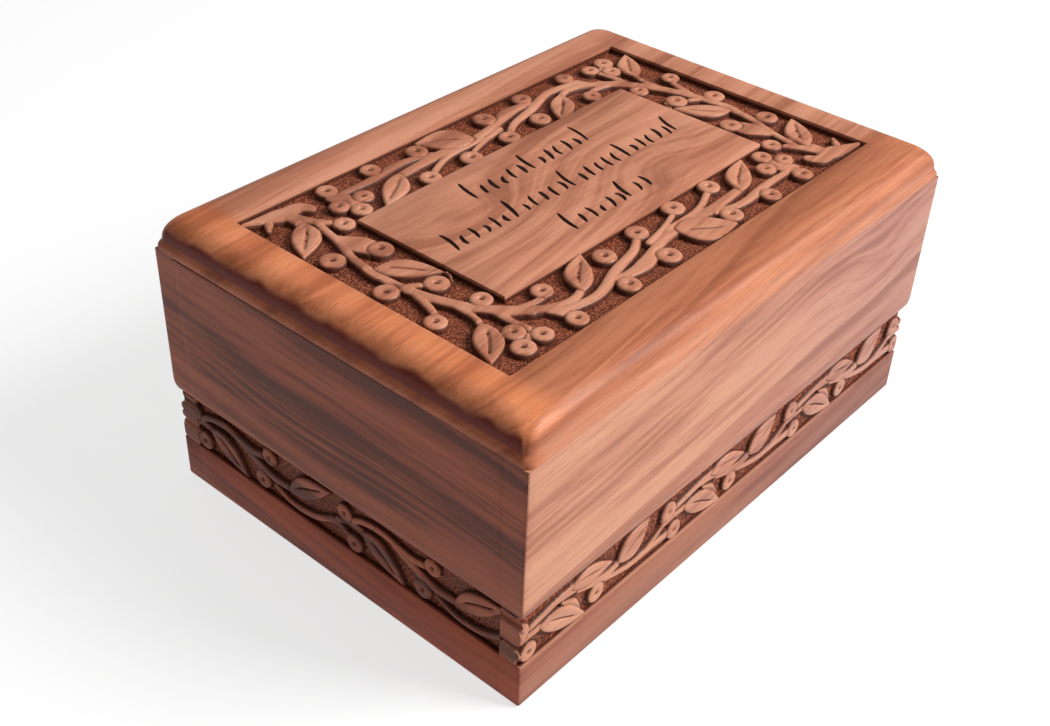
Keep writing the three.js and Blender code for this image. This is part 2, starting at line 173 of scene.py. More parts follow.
BORDER_BERRIES = [
    [(-77, 36.4), 4], [(-95.6, 22), 4.6], [(-79.6, 15.8), 4.6], [(-96.4, -4), 4.5],
    [(-81.5, -12), 4.5, (-90, -6)], [(-97.5, -27), 4], [(-78.2, -28.5), 4, (-84.5, -29)],
    [(-84.6, -48), 4], [(-88.4, -55.4), 4.3, (-82, -52)], [(-79, -55), 3.9], [(-61, -39.2), 4],
    [(-65, -57.3), 4], [(-38.2, -57.2), 4.2, (-36, -52)], [(-30.6, -40.6), 4.4], [(-10.8, -39), 4.4],
    [(-14.7, -55.8), 4.6], [(11.5, -37.9), 4.6], [(33, -38.2), 4.3], [(22.6, -55.6), 4.4],
    [(44.6, -57.6), 4.1, (46, -52)], [(66, -57.4), 4.1, (66, -52)], [(66, -39.3), 4],
    [(59.4, -45.6), 4, (66, -49)], [(70.4, -46.2), 3.8, (66, -49)],
]

LONG_UNIT = {
    "length": 78,
    "start": 0,
    "stems": [
        [(-2, 13.6), (10, 15.6), (22, 17.4), (32, 17.6), 2.2, 2.8, 2.6],
        [(18, 16.6), (29, 15), (38, 11.8), (46, 10.2), (54, 11.4), 2, 2.8, 3],
        [(30, 13.4), (44, 8.6), (58, 5.2), (69, 5.2), (80, 4.6), 2, 2.6, 3.6],
        [(-2, 11), (8, 11.6), (17, 10.4), 2, 2.4, 3],
        [(22, 13.6), (27.5, 10.4), (31, 5), 1.6, 3, 1.4],
        [(66, 5.6), (74, 9.4), (79, 14), 2, 2.2, 2],
    ],
    "leaves": [
        [(26, 17), (48, 14.4), 8],
        [(51, 11), (67.5, 21.2), -12],
        [(10.5, 11.4), (34.5, 0.2), 9.6],
    ],
    "berries": [
        [(79.2, 15.6), 4], [(83.5, 4.5), 3.9], [(39.8, 5.5), 4, (44, 9)],
    ],
}
END_UNIT = {
    "length": 81,
    "start": 5,
    "stems": [
        [(-2, 8.6), (5, 12.8), (13, 16.8), (22, 18.2), (37, 15.7), (46, 17), 2, 3, 3],
        [(29, 16.8), (38, 12.6), (48, 9.4), (58, 9.6), 3.4, 3.6, 3],
        [(1, 11), (10, 13), (17, 10.8), 2.2, 2.8, 3],
        [(-2, 9.4), (3, 8.6), (8, 5.4), 2, 2.4, 2],
        [(49, 6.4), (57, 3.2), (69, 4), (80, 9.2), 2, 3, 2.6],
    ],
    "leaves": [
        [(56.5, 8.4), (79, 21), 9],
        [(13, 12.6), (33.5, 0.4), 9.4],
    ],
    "berries": [
        [(46.6, 18), 3.6], [(9, 4.4), 3.8], [(42, 5.2), 3.9, (40, 12)], [(85.5, 15.8), 3.6],
    ],
}

# Rows of plain shallow strokes on the panel: middle, height, length and number of strokes
STROKE_ROWS = (
    {"x": -1, "y": 20.5, "tall": 13, "long": 72, "count": 7},
    {"x": 0, "y": 1.8, "tall": 12.5, "long": 134, "count": 13},
    {"x": -2, "y": -17.8, "tall": 12, "long": 52, "count": 5},
)
STROKE_LEAN = 0.22
STROKE_SHORT = 0.62
STROKE_HALF = 0.95
STROKE_SUNK = 0.45
STROKE_RIM = (0.1, 0.03)
STROKE_SLOPE = 0.55


# Motifs

def smooth(knots, spans=9):
    """Points along a centripetal curve through the knots."""
    knots = np.array(knots, float)
    run = np.vstack([2 * knots[0] - knots[1], knots, 2 * knots[-1] - knots[-2]])
    made = []
    for p0, p1, p2, p3 in zip(run[:-3], run[1:-2], run[2:-1], run[3:]):
        d0, d1, d2 = (math.sqrt(math.dist(a, b)) for a, b in ((p0, p1), (p1, p2), (p2, p3)))
        leave = ((p1 - p0) / d0 - (p2 - p0) / (d0 + d1) + (p2 - p1) / d1) * d1
        reach = ((p2 - p1) / d1 - (p3 - p1) / (d1 + d2) + (p3 - p2) / d2) * d1
        for t in np.arange(spans) / spans:
            made.append((2 * t**3 - 3 * t**2 + 1) * p1 + (t**3 - 2 * t**2 + t) * leave
                        + (3 * t**2 - 2 * t**3) * p2 + (t**3 - t**2) * reach)
    made.append(knots[-1])
    return np.array(made)


def shoulder(inside, run):
    """A steep wall up to the edge, then a rounded shoulder that is full height at run inside it."""
    wall = np.clip((inside + WALL_RUN) / WALL_RUN, 0, 1)
    bend = 1 - np.clip(inside / run, 0, 1)
    return WALL_SHARE * wall + CROWN_SHARE * np.sqrt(1 - bend**2)


def unit(vectors):
    return vectors / np.maximum(np.linalg.norm(vectors, axis=1, keepdims=True), 1e-9)


class Stem:
    """A stem of changing width. A motif's field gives, for points near it, how far they lie inside its edge,
    the way further in, its height as a share of the full relief and the marks that points move onto."""
    over = False
    crown = 0.95
    crown_span = (0.8, 2.4)

    def __init__(self, stem, top):
        self.line = smooth(stem[:-3])
        steps = np.linalg.norm(np.diff(self.line, axis=0), axis=1)
        share = np.concatenate([[0], np.cumsum(steps)]) / steps.sum()
        self.half = np.interp(share, (0, 0.5, 1), stem[-3:]) / 2
        self.top = top
        self.low = self.line.min(0) - self.half.max() - 1
        self.high = self.line.max(0) + self.half.max() + 1

    def field(self, points):
        inside = np.full(len(points), -FAR)
        way = np.zeros_like(points)
        half = np.ones(len(points))
        for a, b, r0, r1 in zip(self.line[:-1], self.line[1:], self.half[:-1], self.half[1:]):
            run = b - a
            t = np.clip((points - a) @ run / (run @ run), 0, 1)
            toward = a + t[:, None] * run - points
            radius = r0 + t * (r1 - r0)
            here = radius - np.linalg.norm(toward, axis=1)
            best = here > inside
            inside[best] = here[best]
            way[best] = toward[best]
            half[best] = radius[best]
        crest = shoulder(inside, np.clip(self.crown * half, *self.crown_span))
        return inside, unit(way), self.top * crest, []


class Leaf:
    """A leaf with a sunk vein, fuller on one side, that tilts a little across."""
    over = True
    full = 0.6
    bow = 0.8
    crown = 1.3
    tilt = 0.1
    dish_half = 0.16
    dish_share = 0.1
    vein_span = (0.17, 0.8)
    vein_sway = 0.35
    vein_taper = 2.5
    vein_half = 0.55
    vein_share = 0.42

    def __init__(self, leaf, top):
        self.foot, tip, self.width = np.array(leaf[0], float), np.array(leaf[1], float), leaf[2]
        self.run = tip - self.foot
        self.long = np.linalg.norm(self.run)
        self.side = np.array([-self.run[1], self.run[0]]) / self.long
        t = np.linspace(0, 1, 29)
        left = self.at(t, self.out(t) * self.full)
        right = self.at(t, self.out(t) * (self.full - 1))
        self.outline = np.vstack([left, right[-2:0:-1]])
        self.top = top
        self.low = self.outline.min(0) - 1
        self.high = self.outline.max(0) + 1

    def out(self, t):
        return np.sin(np.pi * np.clip(t, 0, 1) ** self.bow) * self.width

    def at(self, t, off):
        return self.foot + np.outer(t, self.run) + np.outer(off, self.side)

    def field(self, points):
        nearest = np.full(len(points), FAR)
        way = np.zeros_like(points)
        crossings = np.zeros(len(points), bool)
        for a, b in zip(self.outline, np.roll(self.outline, -1, axis=0)):
            run = b - a
            t = np.clip((points - a) @ run / (run @ run), 0, 1)
            off = points - a - t[:, None] * run
            here = np.linalg.norm(off, axis=1)
            best = here < nearest
            nearest[best] = here[best]
            way[best] = off[best]
            spans = (a[1] > points[:, 1]) != (b[1] > points[:, 1])
            if b[1] != a[1]:
                crossings ^= spans & (points[:, 0] < a[0] + (points[:, 1] - a[1]) * run[0] / run[1])
        sign = np.where(crossings, 1.0, -1.0)
        inside = sign * nearest
        way = unit(way) * sign[:, None]
        t = (points - self.foot) @ self.run / self.long**2
        middle = (self.full - 0.5) * self.out(t)
        slip = self.vein_sway * np.sin(2 * np.pi * np.clip(t, 0, 1))
        across = (points - self.foot) @ self.side - middle - slip
        start, end = self.vein_span
        along = np.clip(np.minimum(t - start, end - t) * self.long / self.vein_taper, 0, 1)
        vein = along * np.clip(1 - np.abs(across) / self.vein_half, 0, 1)
        dish = np.exp(-(across / (self.dish_half * abs(self.width))) ** 2) * np.clip(inside / 2, 0, 1)
        slant = self.tilt * np.clip(across / abs(self.width), -0.5, 0.5)
        height = shoulder(inside, self.crown) * (1 - self.dish_share * dish + slant)
        height = height - self.vein_share * vein * (inside > 0)
        marks = [(across, np.tile(self.side, (len(points), 1)), (along > 0.3) & (inside > 0.5))]
        return inside, way, self.top * height, marks


class Berry:
    """A round berry with a dimple in its middle."""
    over = True
    crown = 0.45
    droop = 0.05
    dimple = 0.26
    dimple_soft = 0.5
    dimple_share = 0.34

    def __init__(self, middle, radius, top):
        self.middle, self.radius, self.top = np.array(middle, float), radius, top
        self.low = self.middle - radius - 1
        self.high = self.middle + radius + 1

    def field(self, points):
        toward = self.middle - points
        away = np.linalg.norm(toward, axis=1)
        inside = self.radius - away
        way = unit(toward)
        hollow = self.dimple * self.radius
        sunk = np.clip((hollow + WALL_RUN - away) / (WALL_RUN + self.dimple_soft), 0, 1)
        droop = self.droop * np.clip(1 - away / self.radius, 0, 1)
        dome = shoulder(inside, self.crown * self.radius) - droop
        height = dome - self.dimple_share * sunk * (inside > 0)
        return inside, way, self.top * height, [(hollow - away, way, inside > 0.5)]


def motifs(drawing, place, random):
    """The drawing's stems, then the leaves and berries that lie over them."""
    def top():
        return 1 - TOP_SPREAD * random.random()

    made = []
    for stem in drawing["stems"]:
        made.append(Stem([place(*knot) for knot in stem[:-3]] + list(stem[-3:]), top() - STEM_LOWER))
    for middle, _, *stalk in drawing["berries"]:
        if stalk:
            made.append(Stem([place(*stalk[0]), place(*middle), *STALK_WIDTHS], top() - STEM_LOWER))
    for foot, tip, width in drawing["leaves"]:
        made.append(Leaf((place(*foot), place(*tip), width), top()))
    for middle, radius, *_ in drawing["berries"]:
        made.append(Berry(place(*middle), radius, top()))
    return made


def carve(points, shapes):
    """The relief over the points as a share of its full height, and each point's move onto an edge."""
    height = np.zeros(len(points))
    inside = np.full(len(points), -FAR)
    way = np.zeros_like(points)
    nearest = np.full(len(points), FAR)
    edge_way = np.zeros_like(points)
    for shape in shapes:
        near = np.flatnonzero(np.all((points > shape.low) & (points < shape.high), axis=1))
        if not len(near):
            continue
        here, toward, own, marks = shape.field(points[near])
        if shape.over:
            notch = NOTCH_SHARE * np.exp(-(here / NOTCH_HALF) ** 2)
            under = np.maximum(height[near] - np.where(here < 0, notch, 0), 0)
            height[near] = np.where(here >= 0, own, np.maximum(under, own))
            inside[near] = np.where(here > COVERED, -FAR, inside[near])
            marks = [(here, toward, np.ones(len(near), bool))] + marks
            for off, aim, valid in marks:
                best = valid & (np.abs(off) < np.abs(nearest[near]))
                nearest[near[best]] = off[best]
                edge_way[near[best]] = aim[best]
        else:
            height[near] = np.maximum(height[near], own)
            best = here > inside[near]
            inside[near[best]] = here[best]
            way[near[best]] = toward[best]
    stem = np.abs(inside) < np.abs(nearest)
    off = np.where(stem, inside, nearest)
    way = np.where(stem[:, None], way, edge_way)
    gaps = np.array(EDGE_LINES) - off[:, None]
    pick = np.abs(gaps).argmin(1)
    move = gaps[np.arange(len(gaps)), pick]
    return height, way * np.where(np.abs(move) < SNAP_REACH, move, 0)[:, None]


def carved_sheet(points, fixed, pitch, shapes):
    """Points moved onto the edges of the shapes, and the share of full height at each."""
    for _ in range(SNAP_PASSES):
        _, move = carve(points, shapes)
        size = np.linalg.norm(move, axis=1, keepdims=True)
        move *= np.minimum(1, SNAP_SHARE * pitch / np.maximum(size, 1e-9))
        points = np.where(fixed[:, None], points, points + move)
    height, _ = carve(points, shapes)
    return points, height


# Meshes

class Shell:
    """Points and faces in millimetres. Each point has its share of the relief and how burnt it is."""

    def __init__(self):
        self.points, self.relief, self.burn, self.faces = [], [], [], []
        self.count = 0

    def add(self, points, relief=1.0, burn=0.0):
        points = np.asarray(points, float)
        self.points.append(points)
        self.relief.append(np.broadcast_to(relief, len(points)))
        self.burn.append(np.broadcast_to(burn, len(points)))
        self.count += len(points)
        return np.arange(self.count - len(points), self.count)

    def move(self, x):
        self.points = [points + (x, 0, 0) for points in self.points]

    def strip(self, a, b, closed=False):
        """Quads between two rows of as many points."""
        if closed:
            a, b = np.append(a, a[0]), np.append(b, b[0])
        self.faces += np.stack([a[:-1], a[1:], b[1:], b[:-1]], axis=1).tolist()

    def fans(self, fine, picks, coarse):
        """Joins a fine closed ring to a coarse one, whose points match the picked ones of the fine ring."""
        picks = list(picks) + [picks[0] + len(fine)]
        count = len(fine)
        for k, (first, last) in enumerate(zip(picks[:-1], picks[1:])):
            a, b = coarse[k], coarse[(k + 1) % len(coarse)]
            middle = (first + last) // 2
            for j in range(first, middle):
                self.faces.append([fine[j % count], fine[(j + 1) % count], a])
            self.faces.append([a, fine[middle % count], b])
            for j in range(middle, last):
                self.faces.append([fine[j % count], fine[(j + 1) % count], b])

    def fill(self, outer, holes=()):
        """Triangles in a level plane between an outer ring and the rings in it."""
        every = np.vstack(self.points)
        rings = [outer, *holes]
        index = np.concatenate(rings)
        flat = [Vector(p) for p in every[index][:, :2]]
        edges, start = [], 0
        for ring in rings:
            edges += [(start + k, start + (k + 1) % len(ring)) for k in range(len(ring))]
            start += len(ring)
        made, _, faces, sources, _, _ = delaunay_2d_cdt(flat, edges, [], 1, 1e-9)
        faces = np.array(faces)
        middles = np.array([tuple(v) for v in made])[faces].mean(1)
        keep = within(middles, every[outer][:, :2])
        for hole in holes:
            keep &= ~within(middles, every[hole][:, :2])
        back = index[np.array([s[0] for s in sources])]
        self.faces += back[faces[keep]].tolist()

    def mesh(self, name, turn=0.0):
        """The gathered mesh as an object, in metres and turned about the upright axis."""
        points = np.vstack(self.points) * MM
        c, s = math.cos(turn), math.sin(turn)
        points = points @ np.array([[c, s, 0], [-s, c, 0], [0, 0, 1]])
        mesh = bpy.data.meshes.new(name)
        mesh.from_pydata(points.tolist(), [], self.faces)
        for key, values in (("relief", self.relief), ("burn", self.burn)):
            layer = mesh.attributes.new(key, "FLOAT", "POINT")
            layer.data.foreach_set("value", np.concatenate(values).astype(np.float32))
        work = bmesh.new()
        work.from_mesh(mesh)
        bmesh.ops.recalc_face_normals(work, faces=work.faces)
        work.to_mesh(mesh)
        work.free()
        mesh.shade_smooth()
        mesh.set_sharp_from_angle(angle=math.radians(SHARP_DEGREES))
        piece = bpy.data.objects.new(name, mesh)
        bpy.context.scene.collection.objects.link(piece)
        return piece


def within(points, ring):
    """Which points lie inside a ring of points."""
    found = np.zeros(len(points), bool)
    for a, b in zip(ring, np.roll(ring, -1, axis=0)):
        spans = (a[1] > points[:, 1]) != (b[1] > points[:, 1])
        if a[1] != b[1]:
            found ^= spans & (points[:, 0] < a[0] + (points[:, 1] - a[1]) * (b[0] - a[0]) / (b[1] - a[1]))
    return found


def rounded_ring(half_x, half_y, radius, z, corner_steps=8, side_steps=24):
    """A level rounded rectangle, anticlockwise from the back end of its right side."""
    ring = []
    for turn, (sx, sy) in enumerate(((1, 1), (-1, 1), (-1, -1), (1, -1))):
        cx, cy = sx * (half_x - radius), sy * (half_y - radius)
        for k in range(corner_steps + 1):
            angle = (turn + k / corner_steps) * math.pi / 2
            ring.append((cx + radius * math.cos(angle), cy + radius * math.sin(angle), z))
        nx, ny = ((-1, 1), (-1, -1), (1, -1), (1, 1))[turn]
        ex, ey = nx * (half_x - radius), ny * (half_y - radius)
        start = np.array(ring[-1])
        angle = (turn + 1) * math.pi / 2
        end = np.array([ex + radius * math.cos(angle), ey + radius * math.sin(angle), z])
        for k in range(1, side_steps):
            ring.append(tuple(start + (end - start) * k / side_steps))
    return np.array(ring)


def spaced(stops, pitch):
    """Places from stop to stop, each stretch in equal steps of about the pitch."""
    places = [stops[0]]
    for a, b in zip(stops[:-1], stops[1:]):
        count = max(1, round((b - a) / pitch))
        places += list(a + (b - a) * np.arange(1, count + 1) / count)
    return np.array(places)


def stipple(count, random):
    """Small random drops of the sunk ground."""
    return -STIPPLE * random.random(count) ** 1.5


# The lid

def stroke_ring(x, y, tall, lean, bow, half):
    """One leaning, bowed stroke, blunt at its ends and thickest in the middle."""
    t = np.linspace(-1, 1, 11)
    wide = half * (1 - 0.4 * t**2) * np.sqrt(1 - 0.85 * t**8)
    middle = x + lean * tall / 2 * t + bow * (1 - t**2)
    rise = y + tall / 2 * t
    right = np.stack([middle + wide, rise], axis=1)
    left = np.stack([middle - wide, rise], axis=1)
    return np.vstack([right, left[::-1]])


def strokes():
    """The solid's strokes and a finer one between each two, all with their own lean, bow and thickness."""
    random = np.random.default_rng(SEED + 1)
    made = []
    for row in STROKE_ROWS:
        count = 2 * row["count"] - 1
        pitch = row["long"] / row["count"]
        for k in range(count):
            x = row["x"] + (k / 2 + 0.5 - row["count"] / 2) * pitch
            share = (1 if k % 6 == 0 else STROKE_SHORT) if k % 2 == 0 else random.uniform(0.36, 0.58)
            tall = row["tall"] * share * random.uniform(0.94, 1.04)
            y = row["y"] - row["tall"] / 2 + tall / 2 + random.uniform(-0.5, 0.5)
            lean = STROKE_LEAN + random.uniform(-0.05, 0.16)
            bow = random.choice((-1, 1)) * random.uniform(0.25, 0.95)
            made.append((x, y, tall, lean, bow, STROKE_HALF * random.uniform(0.85, 1.12)))
    return made


def lid():
    random = np.random.default_rng(SEED)
    shell = Shell()
    xs = spaced((-RECESS[0], -PANEL[0], PANEL[0], RECESS[0]), LID_PITCH)
    ys = spaced((-RECESS[1], -PANEL[1], PANEL[1], RECESS[1]), LID_PITCH)
    gx, gy = np.meshgrid(xs, ys, indexing="ij")
    grid = np.stack([gx.ravel(), gy.ravel()], axis=1)
    in_panel = np.all(np.abs(grid) < np.array(PANEL) - SLACK, axis=1)
    rim = np.any(np.abs(grid) > np.array(RECESS) - SLACK, axis=1)
    on_panel = np.all(np.abs(grid) < np.array(PANEL) + SLACK, axis=1) & ~in_panel
    used = ~in_panel
    border = {"stems": BORDER_STEMS, "leaves": BORDER_LEAVES, "berries": BORDER_BERRIES}
    shapes = motifs(border, lambda x, y: (x, y), random) + motifs(border, lambda x, y: (-x, -y), random)
    shapes.sort(key=lambda shape: (shape.over, isinstance(shape, Berry)))
    points, height = carved_sheet(grid[used], (rim | on_panel)[used], LID_PITCH, shapes)
    ground = np.where(height < GROUND_SHARE, stipple(len(points), random), 0)
    z = HEIGHT - CHANNEL_SUNK + LID_RELIEF * height + ground
    ids = np.full(len(grid), -1)
    ids[used] = shell.add(np.column_stack([points, z]), height)
    ids = ids.reshape(gx.shape)
    a, b, c, d = ids[:-1, :-1], ids[1:, :-1], ids[1:, 1:], ids[:-1, 1:]
    middle_x, middle_y = (xs[:-1] + xs[1:]) / 2, (ys[:-1] + ys[1:]) / 2
    cells = ~((np.abs(middle_x)[:, None] < PANEL[0]) & (np.abs(middle_y)[None, :] < PANEL[1]))
    shell.faces += np.stack([a[cells], b[cells], c[cells], d[cells]], axis=1).tolist()

    def ring_of(i0, i1, j0, j1):
        """The ring of points round a block of the grid."""
        return np.concatenate([ids[i0:i1, j0], ids[i1, j0:j1], ids[i1:i0:-1, j1], ids[i0, j1:j0:-1]])

    def corner_picks(i0, i1, j0, j1):
        """Places round the ring that hold each corner and thin out what lies between."""
        sides = (i1 - i0, j1 - j0, i1 - i0, j1 - j0)
        picks, start = [], 0
        for side in sides:
            count = max(1, side // LID_THIN)
            picks += [start + round(side * k / count) for k in range(count)]
            start += side
        return picks

    def arris(ring, picks, out):
        """From the carving up the wall to a rounded arris, and its top ring."""
        every = np.vstack(shell.points)[ring][picks]
        reach = np.abs(every[:, :2]) > np.abs(every[:, :2]).max(0) - SLACK
        side = np.sign(every[:, :2]) * reach
        last = None
        for turn in (0, 0.5, 1):
            angle = turn * math.pi / 2
            move = out * ARRIS * (1 - math.cos(angle))
            rise = HEIGHT - ARRIS * (1 - math.sin(angle))
            row = shell.add(np.column_stack([every[:, :2] + side * move, np.full(len(picks), rise)]))
            if last is None:
                shell.fans(ring, picks, row)
            else:
                shell.strip(last, row, closed=True)
            last = row
        return last

    outer_span = (0, len(xs) - 1, 0, len(ys) - 1)
    inner_span = (np.searchsorted(xs, -PANEL[0] - SLACK), np.searchsorted(xs, PANEL[0] - SLACK),
                  np.searchsorted(ys, -PANEL[1] - SLACK), np.searchsorted(ys, PANEL[1] - SLACK))
    recess_edge = arris(ring_of(*outer_span), corner_picks(*outer_span), 1)
    panel_edge = arris(ring_of(*inner_span), corner_picks(*inner_span), -1)

    holes = []
    for x, y, tall, lean, bow, half in strokes():
        rows = []
        for narrower, deeper, burn in ((0, 0, 0), (*STROKE_RIM, 1), (STROKE_SLOPE * half, STROKE_SUNK, 1)):
            edge = stroke_ring(x, y, tall - 2 * narrower, lean, bow, half - narrower)
            rows.append(shell.add(np.column_stack([edge, np.full(len(edge), HEIGHT - deeper)]), 1.0, burn))
        for high, low in zip(rows[:-1], rows[1:]):
            shell.strip(high, low, closed=True)
        shell.fill(rows[-1])
        holes.append(rows[0])
    shell.fill(panel_edge, holes)

    rounding = HEIGHT - SEAM - LID_SIDE
    under = SEAM + HAIRLINE
    profile = [(CHAMFER, under), (0, under + CHAMFER)]
    for share in np.linspace(0, 1, FLARE_STEPS):
        eased = share**2 * (3 - 2 * share)
        profile.append((LID_STEP * eased, SEAM + LID_LAND + (LID_SIDE - LID_LAND) * share))
    for k in range(1, LID_ROUND_STEPS + 1):
        angle = k / LID_ROUND_STEPS * math.pi / 2
        profile.append((LID_STEP + rounding * (1 - math.cos(angle)),
                        HEIGHT - rounding * (1 - math.sin(angle))))
    rings = []
    for inset, z in profile:
        share = min(1, inset / (LID_STEP + rounding))
        radius = LID_CORNER + LID_CORNER_GAIN * share
        ring = rounded_ring(LENGTH / 2 - inset, DEPTH / 2 - inset, radius, z)
        rings.append(shell.add(ring - (RECESS_SHIFT, 0, 0)))
    for low, high in zip(rings[:-1], rings[1:]):
        shell.strip(low, high, closed=True)
    shell.fill(rings[-1], [recess_edge])

    plug_x, plug_y = INSIDE_X - PLUG_PLAY, INSIDE_Y - PLUG_PLAY
    plug = []
    for inset, z in ((0, under), (0, PLUG_FOOT + PLUG_CHAMFER), (PLUG_CHAMFER, PLUG_FOOT)):
        ring = rounded_ring(plug_x - inset, plug_y - inset, PLUG_CORNER, z, corner_steps=3, side_steps=6)
        plug.append(shell.add(ring - (RECESS_SHIFT, 0, 0)))
    shell.fill(rings[0], [plug[0]])
    for low, high in zip(plug[:-1], plug[1:]):
        shell.strip(low, high, closed=True)
    shell.fill(plug[-1])
    shell.move(RECESS_SHIFT)
    return shell


# The side boards

def quarter(centre_inset, centre_z, run_in, run_up, steps):
    """Insets and heights from the foot of a quarter round up its side."""
    return [(centre_inset - run_in * math.cos(a), centre_z + run_up * math.sin(a))
            for a in np.linspace(-math.pi / 2, 0, steps + 1)]


def side_board(half_run, away, inner, unit_drawing, run, profiled_ends, dip, seed):
    """A board as a stack of closed rings. u runs along it and w out from the middle of the box."""
    random = np.random.default_rng(seed)
    shell = Shell()
    band_top = SKIRT + BAND
    arris = BOARD_ARRIS if profiled_ends else END_ARRIS
    flat = half_run - (SKIRT_INSET if profiled_ends else 0) - arris
    us = spaced((-flat, flat), BAND_PITCH)
    vs = spaced((0, BAND), BAND_PITCH)
    gu, gv = np.meshgrid(us, vs, indexing="ij")
    shapes = []
    for left in np.arange(unit_drawing["start"] - unit_drawing["length"], run, unit_drawing["length"]):
        shapes += motifs(unit_drawing, lambda x, y: (left + x - run / 2, y), random)
    shapes.sort(key=lambda shape: (shape.over, isinstance(shape, Berry)))
    grid = np.stack([gu.ravel(), gv.ravel()], axis=1)
    border = (np.abs(gu) > flat - SLACK) | (gv < SLACK) | (gv > BAND - SLACK)
    points, share = carved_sheet(grid, border.ravel(), BAND_PITCH, shapes)
    rise = BAND_SUNK * share + np.where(share < GROUND_SHARE, stipple(len(share), random), 0)
    carved_u = points[:, 0].reshape(gu.shape)
    carved_v = points[:, 1].reshape(gu.shape)
    rise = rise.reshape(gu.shape)
    share = share.reshape(gu.shape)
    ledge = BAND_SUNK - ARRIS - LEDGE
    rise[:, [0, -1]] = np.minimum(rise[:, [0, -1]], ledge)

    seat_x = INSIDE_X + BOTTOM_REBATE
    picks_outer = list(range(0, len(us) - 1, BOARD_THIN)) + [len(us) - 1]

    def ring(u, w, z, inset, cut=0.0, relief=None):
        """A closed ring: the outer face, the right end, the inner face and the left end."""
        reach = half_run - (inset if profiled_ends else 0)
        z = np.broadcast_to(z, len(u)).astype(float)
        outer = np.column_stack([u, w, z])
        ends = []
        for sign, edge_w, level in ((1, w[-1], z[-1]), (-1, w[0], z[0])):
            x = reach - cut
            end = []
            for k in (1, 2, 3):
                angle = k / 3 * math.pi / 2
                end.append((reach - arris + (arris - cut) * math.sin(angle),
                            edge_w - arris * (1 - math.cos(angle)), level))
            inner_w = inner + (BOTTOM_REBATE if level < BOTTOM_SEAT and seat_x > half_run else 0)
            for k in (0.15, 0.5, 0.85, 1):
                end.append((x, edge_w - arris + (inner_w - edge_w + arris) * k, level))
            end = np.array(end) * (sign, 1, 1)
            ends.append(end if sign > 0 else end[::-1])
        level = (z[-1] + z[0]) / 2
        if seat_x > half_run:
            inner_w = inner + (BOTTOM_REBATE if level < BOTTOM_SEAT else 0)
            seat = [(k * half_run, inner_w, level) for k in (0.6, 0.3, -0.3, -0.6)]
        else:
            step = BOTTOM_REBATE if level < BOTTOM_SEAT else 0
            slip = SLIVER if step == 0 else 0
            seat = [(seat_x, inner, level), (seat_x - slip, inner + step, level),
                    (-seat_x + slip, inner + step, level), (-seat_x, inner, level)]
        whole = np.vstack([outer, ends[0], seat, ends[1]])
        values = np.ones(len(whole))
        if relief is not None:
            values[:len(u)] = relief
        return shell.add(whole * (1, -1, 1), values)

    def plain(inset, z):
        """A ring of the uncarved part, thinned out along the outer face."""
        u = us[picks_outer]
        spread = (half_run - (inset if profiled_ends else 0) - arris) / flat
        level = z - dip(u) if z > band_top + LIP_RISE else np.full(len(u), z)
        return ring(u * spread, np.full(len(u), away - inset), level, inset)

    foot = quarter(SKIRT_INSET + FOOT_ROUND, FOOT_ROUND, FOOT_ROUND, FOOT_ROUND, FOOT_STEPS)
    low_rows = foot + [(SKIRT_INSET, BOTTOM_SEAT - SLIVER), (SKIRT_INSET, BOTTOM_SEAT + SLIVER),
                       (SKIRT_INSET, SKIRT - ARRIS), (SKIRT_INSET + 0.3 * ARRIS, SKIRT - 0.3 * ARRIS),
                       (SKIRT_INSET + ARRIS, SKIRT)]
    lip = quarter(LIP_DROP, band_top + LIP_RISE, LIP_DROP, LIP_RISE, LIP_STEPS)
    top_rows = lip + [(0, SEAM - PLAIN_BELOW_SEAM), (0, SEAM - CHAMFER), (CHAMFER, SEAM)]
    rings = [plain(inset, z) for inset, z in low_rows]
    shell_ends = [rings[0]]
    for low, high in zip(rings[:-1], rings[1:]):
        shell.strip(low, high, closed=True)

    band_rings = []
    for j, v in enumerate(vs):
        cut = 0.0
        if profiled_ends:
            for up, tall in CORNER_CUTS:
                edge = np.clip((tall / 2 - abs(v - up - tall / 2)) / CORNER_CUT_SLOPE, 0, 1)
                cut = max(cut, CORNER_CUT_SUNK * edge)
        w = away - SKIRT_INSET - BAND_SUNK + rise[:, j]
        z = SKIRT + carved_v[:, j]
        band_rings.append(ring(carved_u[:, j], w, z, SKIRT_INSET, cut, share[:, j]))
    for low, high in zip(band_rings[:-1], band_rings[1:]):
        shell.strip(low, high, closed=True)
    tail = range(len(us), len(band_rings[0]))
    picks = picks_outer + list(tail)
    shell.fans(band_rings[0], picks, rings[-1])

    rings = [plain(inset, z) for inset, z in top_rows]
    shell.fans(band_rings[-1], picks, rings[0])
    for low, high in zip(rings[:-1], rings[1:]):
        shell.strip(low, high, closed=True)
    shell_ends.append(rings[-1])
    for end in shell_ends:
        shell.faces.append(end.tolist())
    return shell


# Materials

def linear(red, green, blue):
    """A screen colour as the shader takes it."""
    return tuple(((c / 255 + 0.055) / 1.055) ** 2.4 for c in (red, green, blue)) + (1.0,)


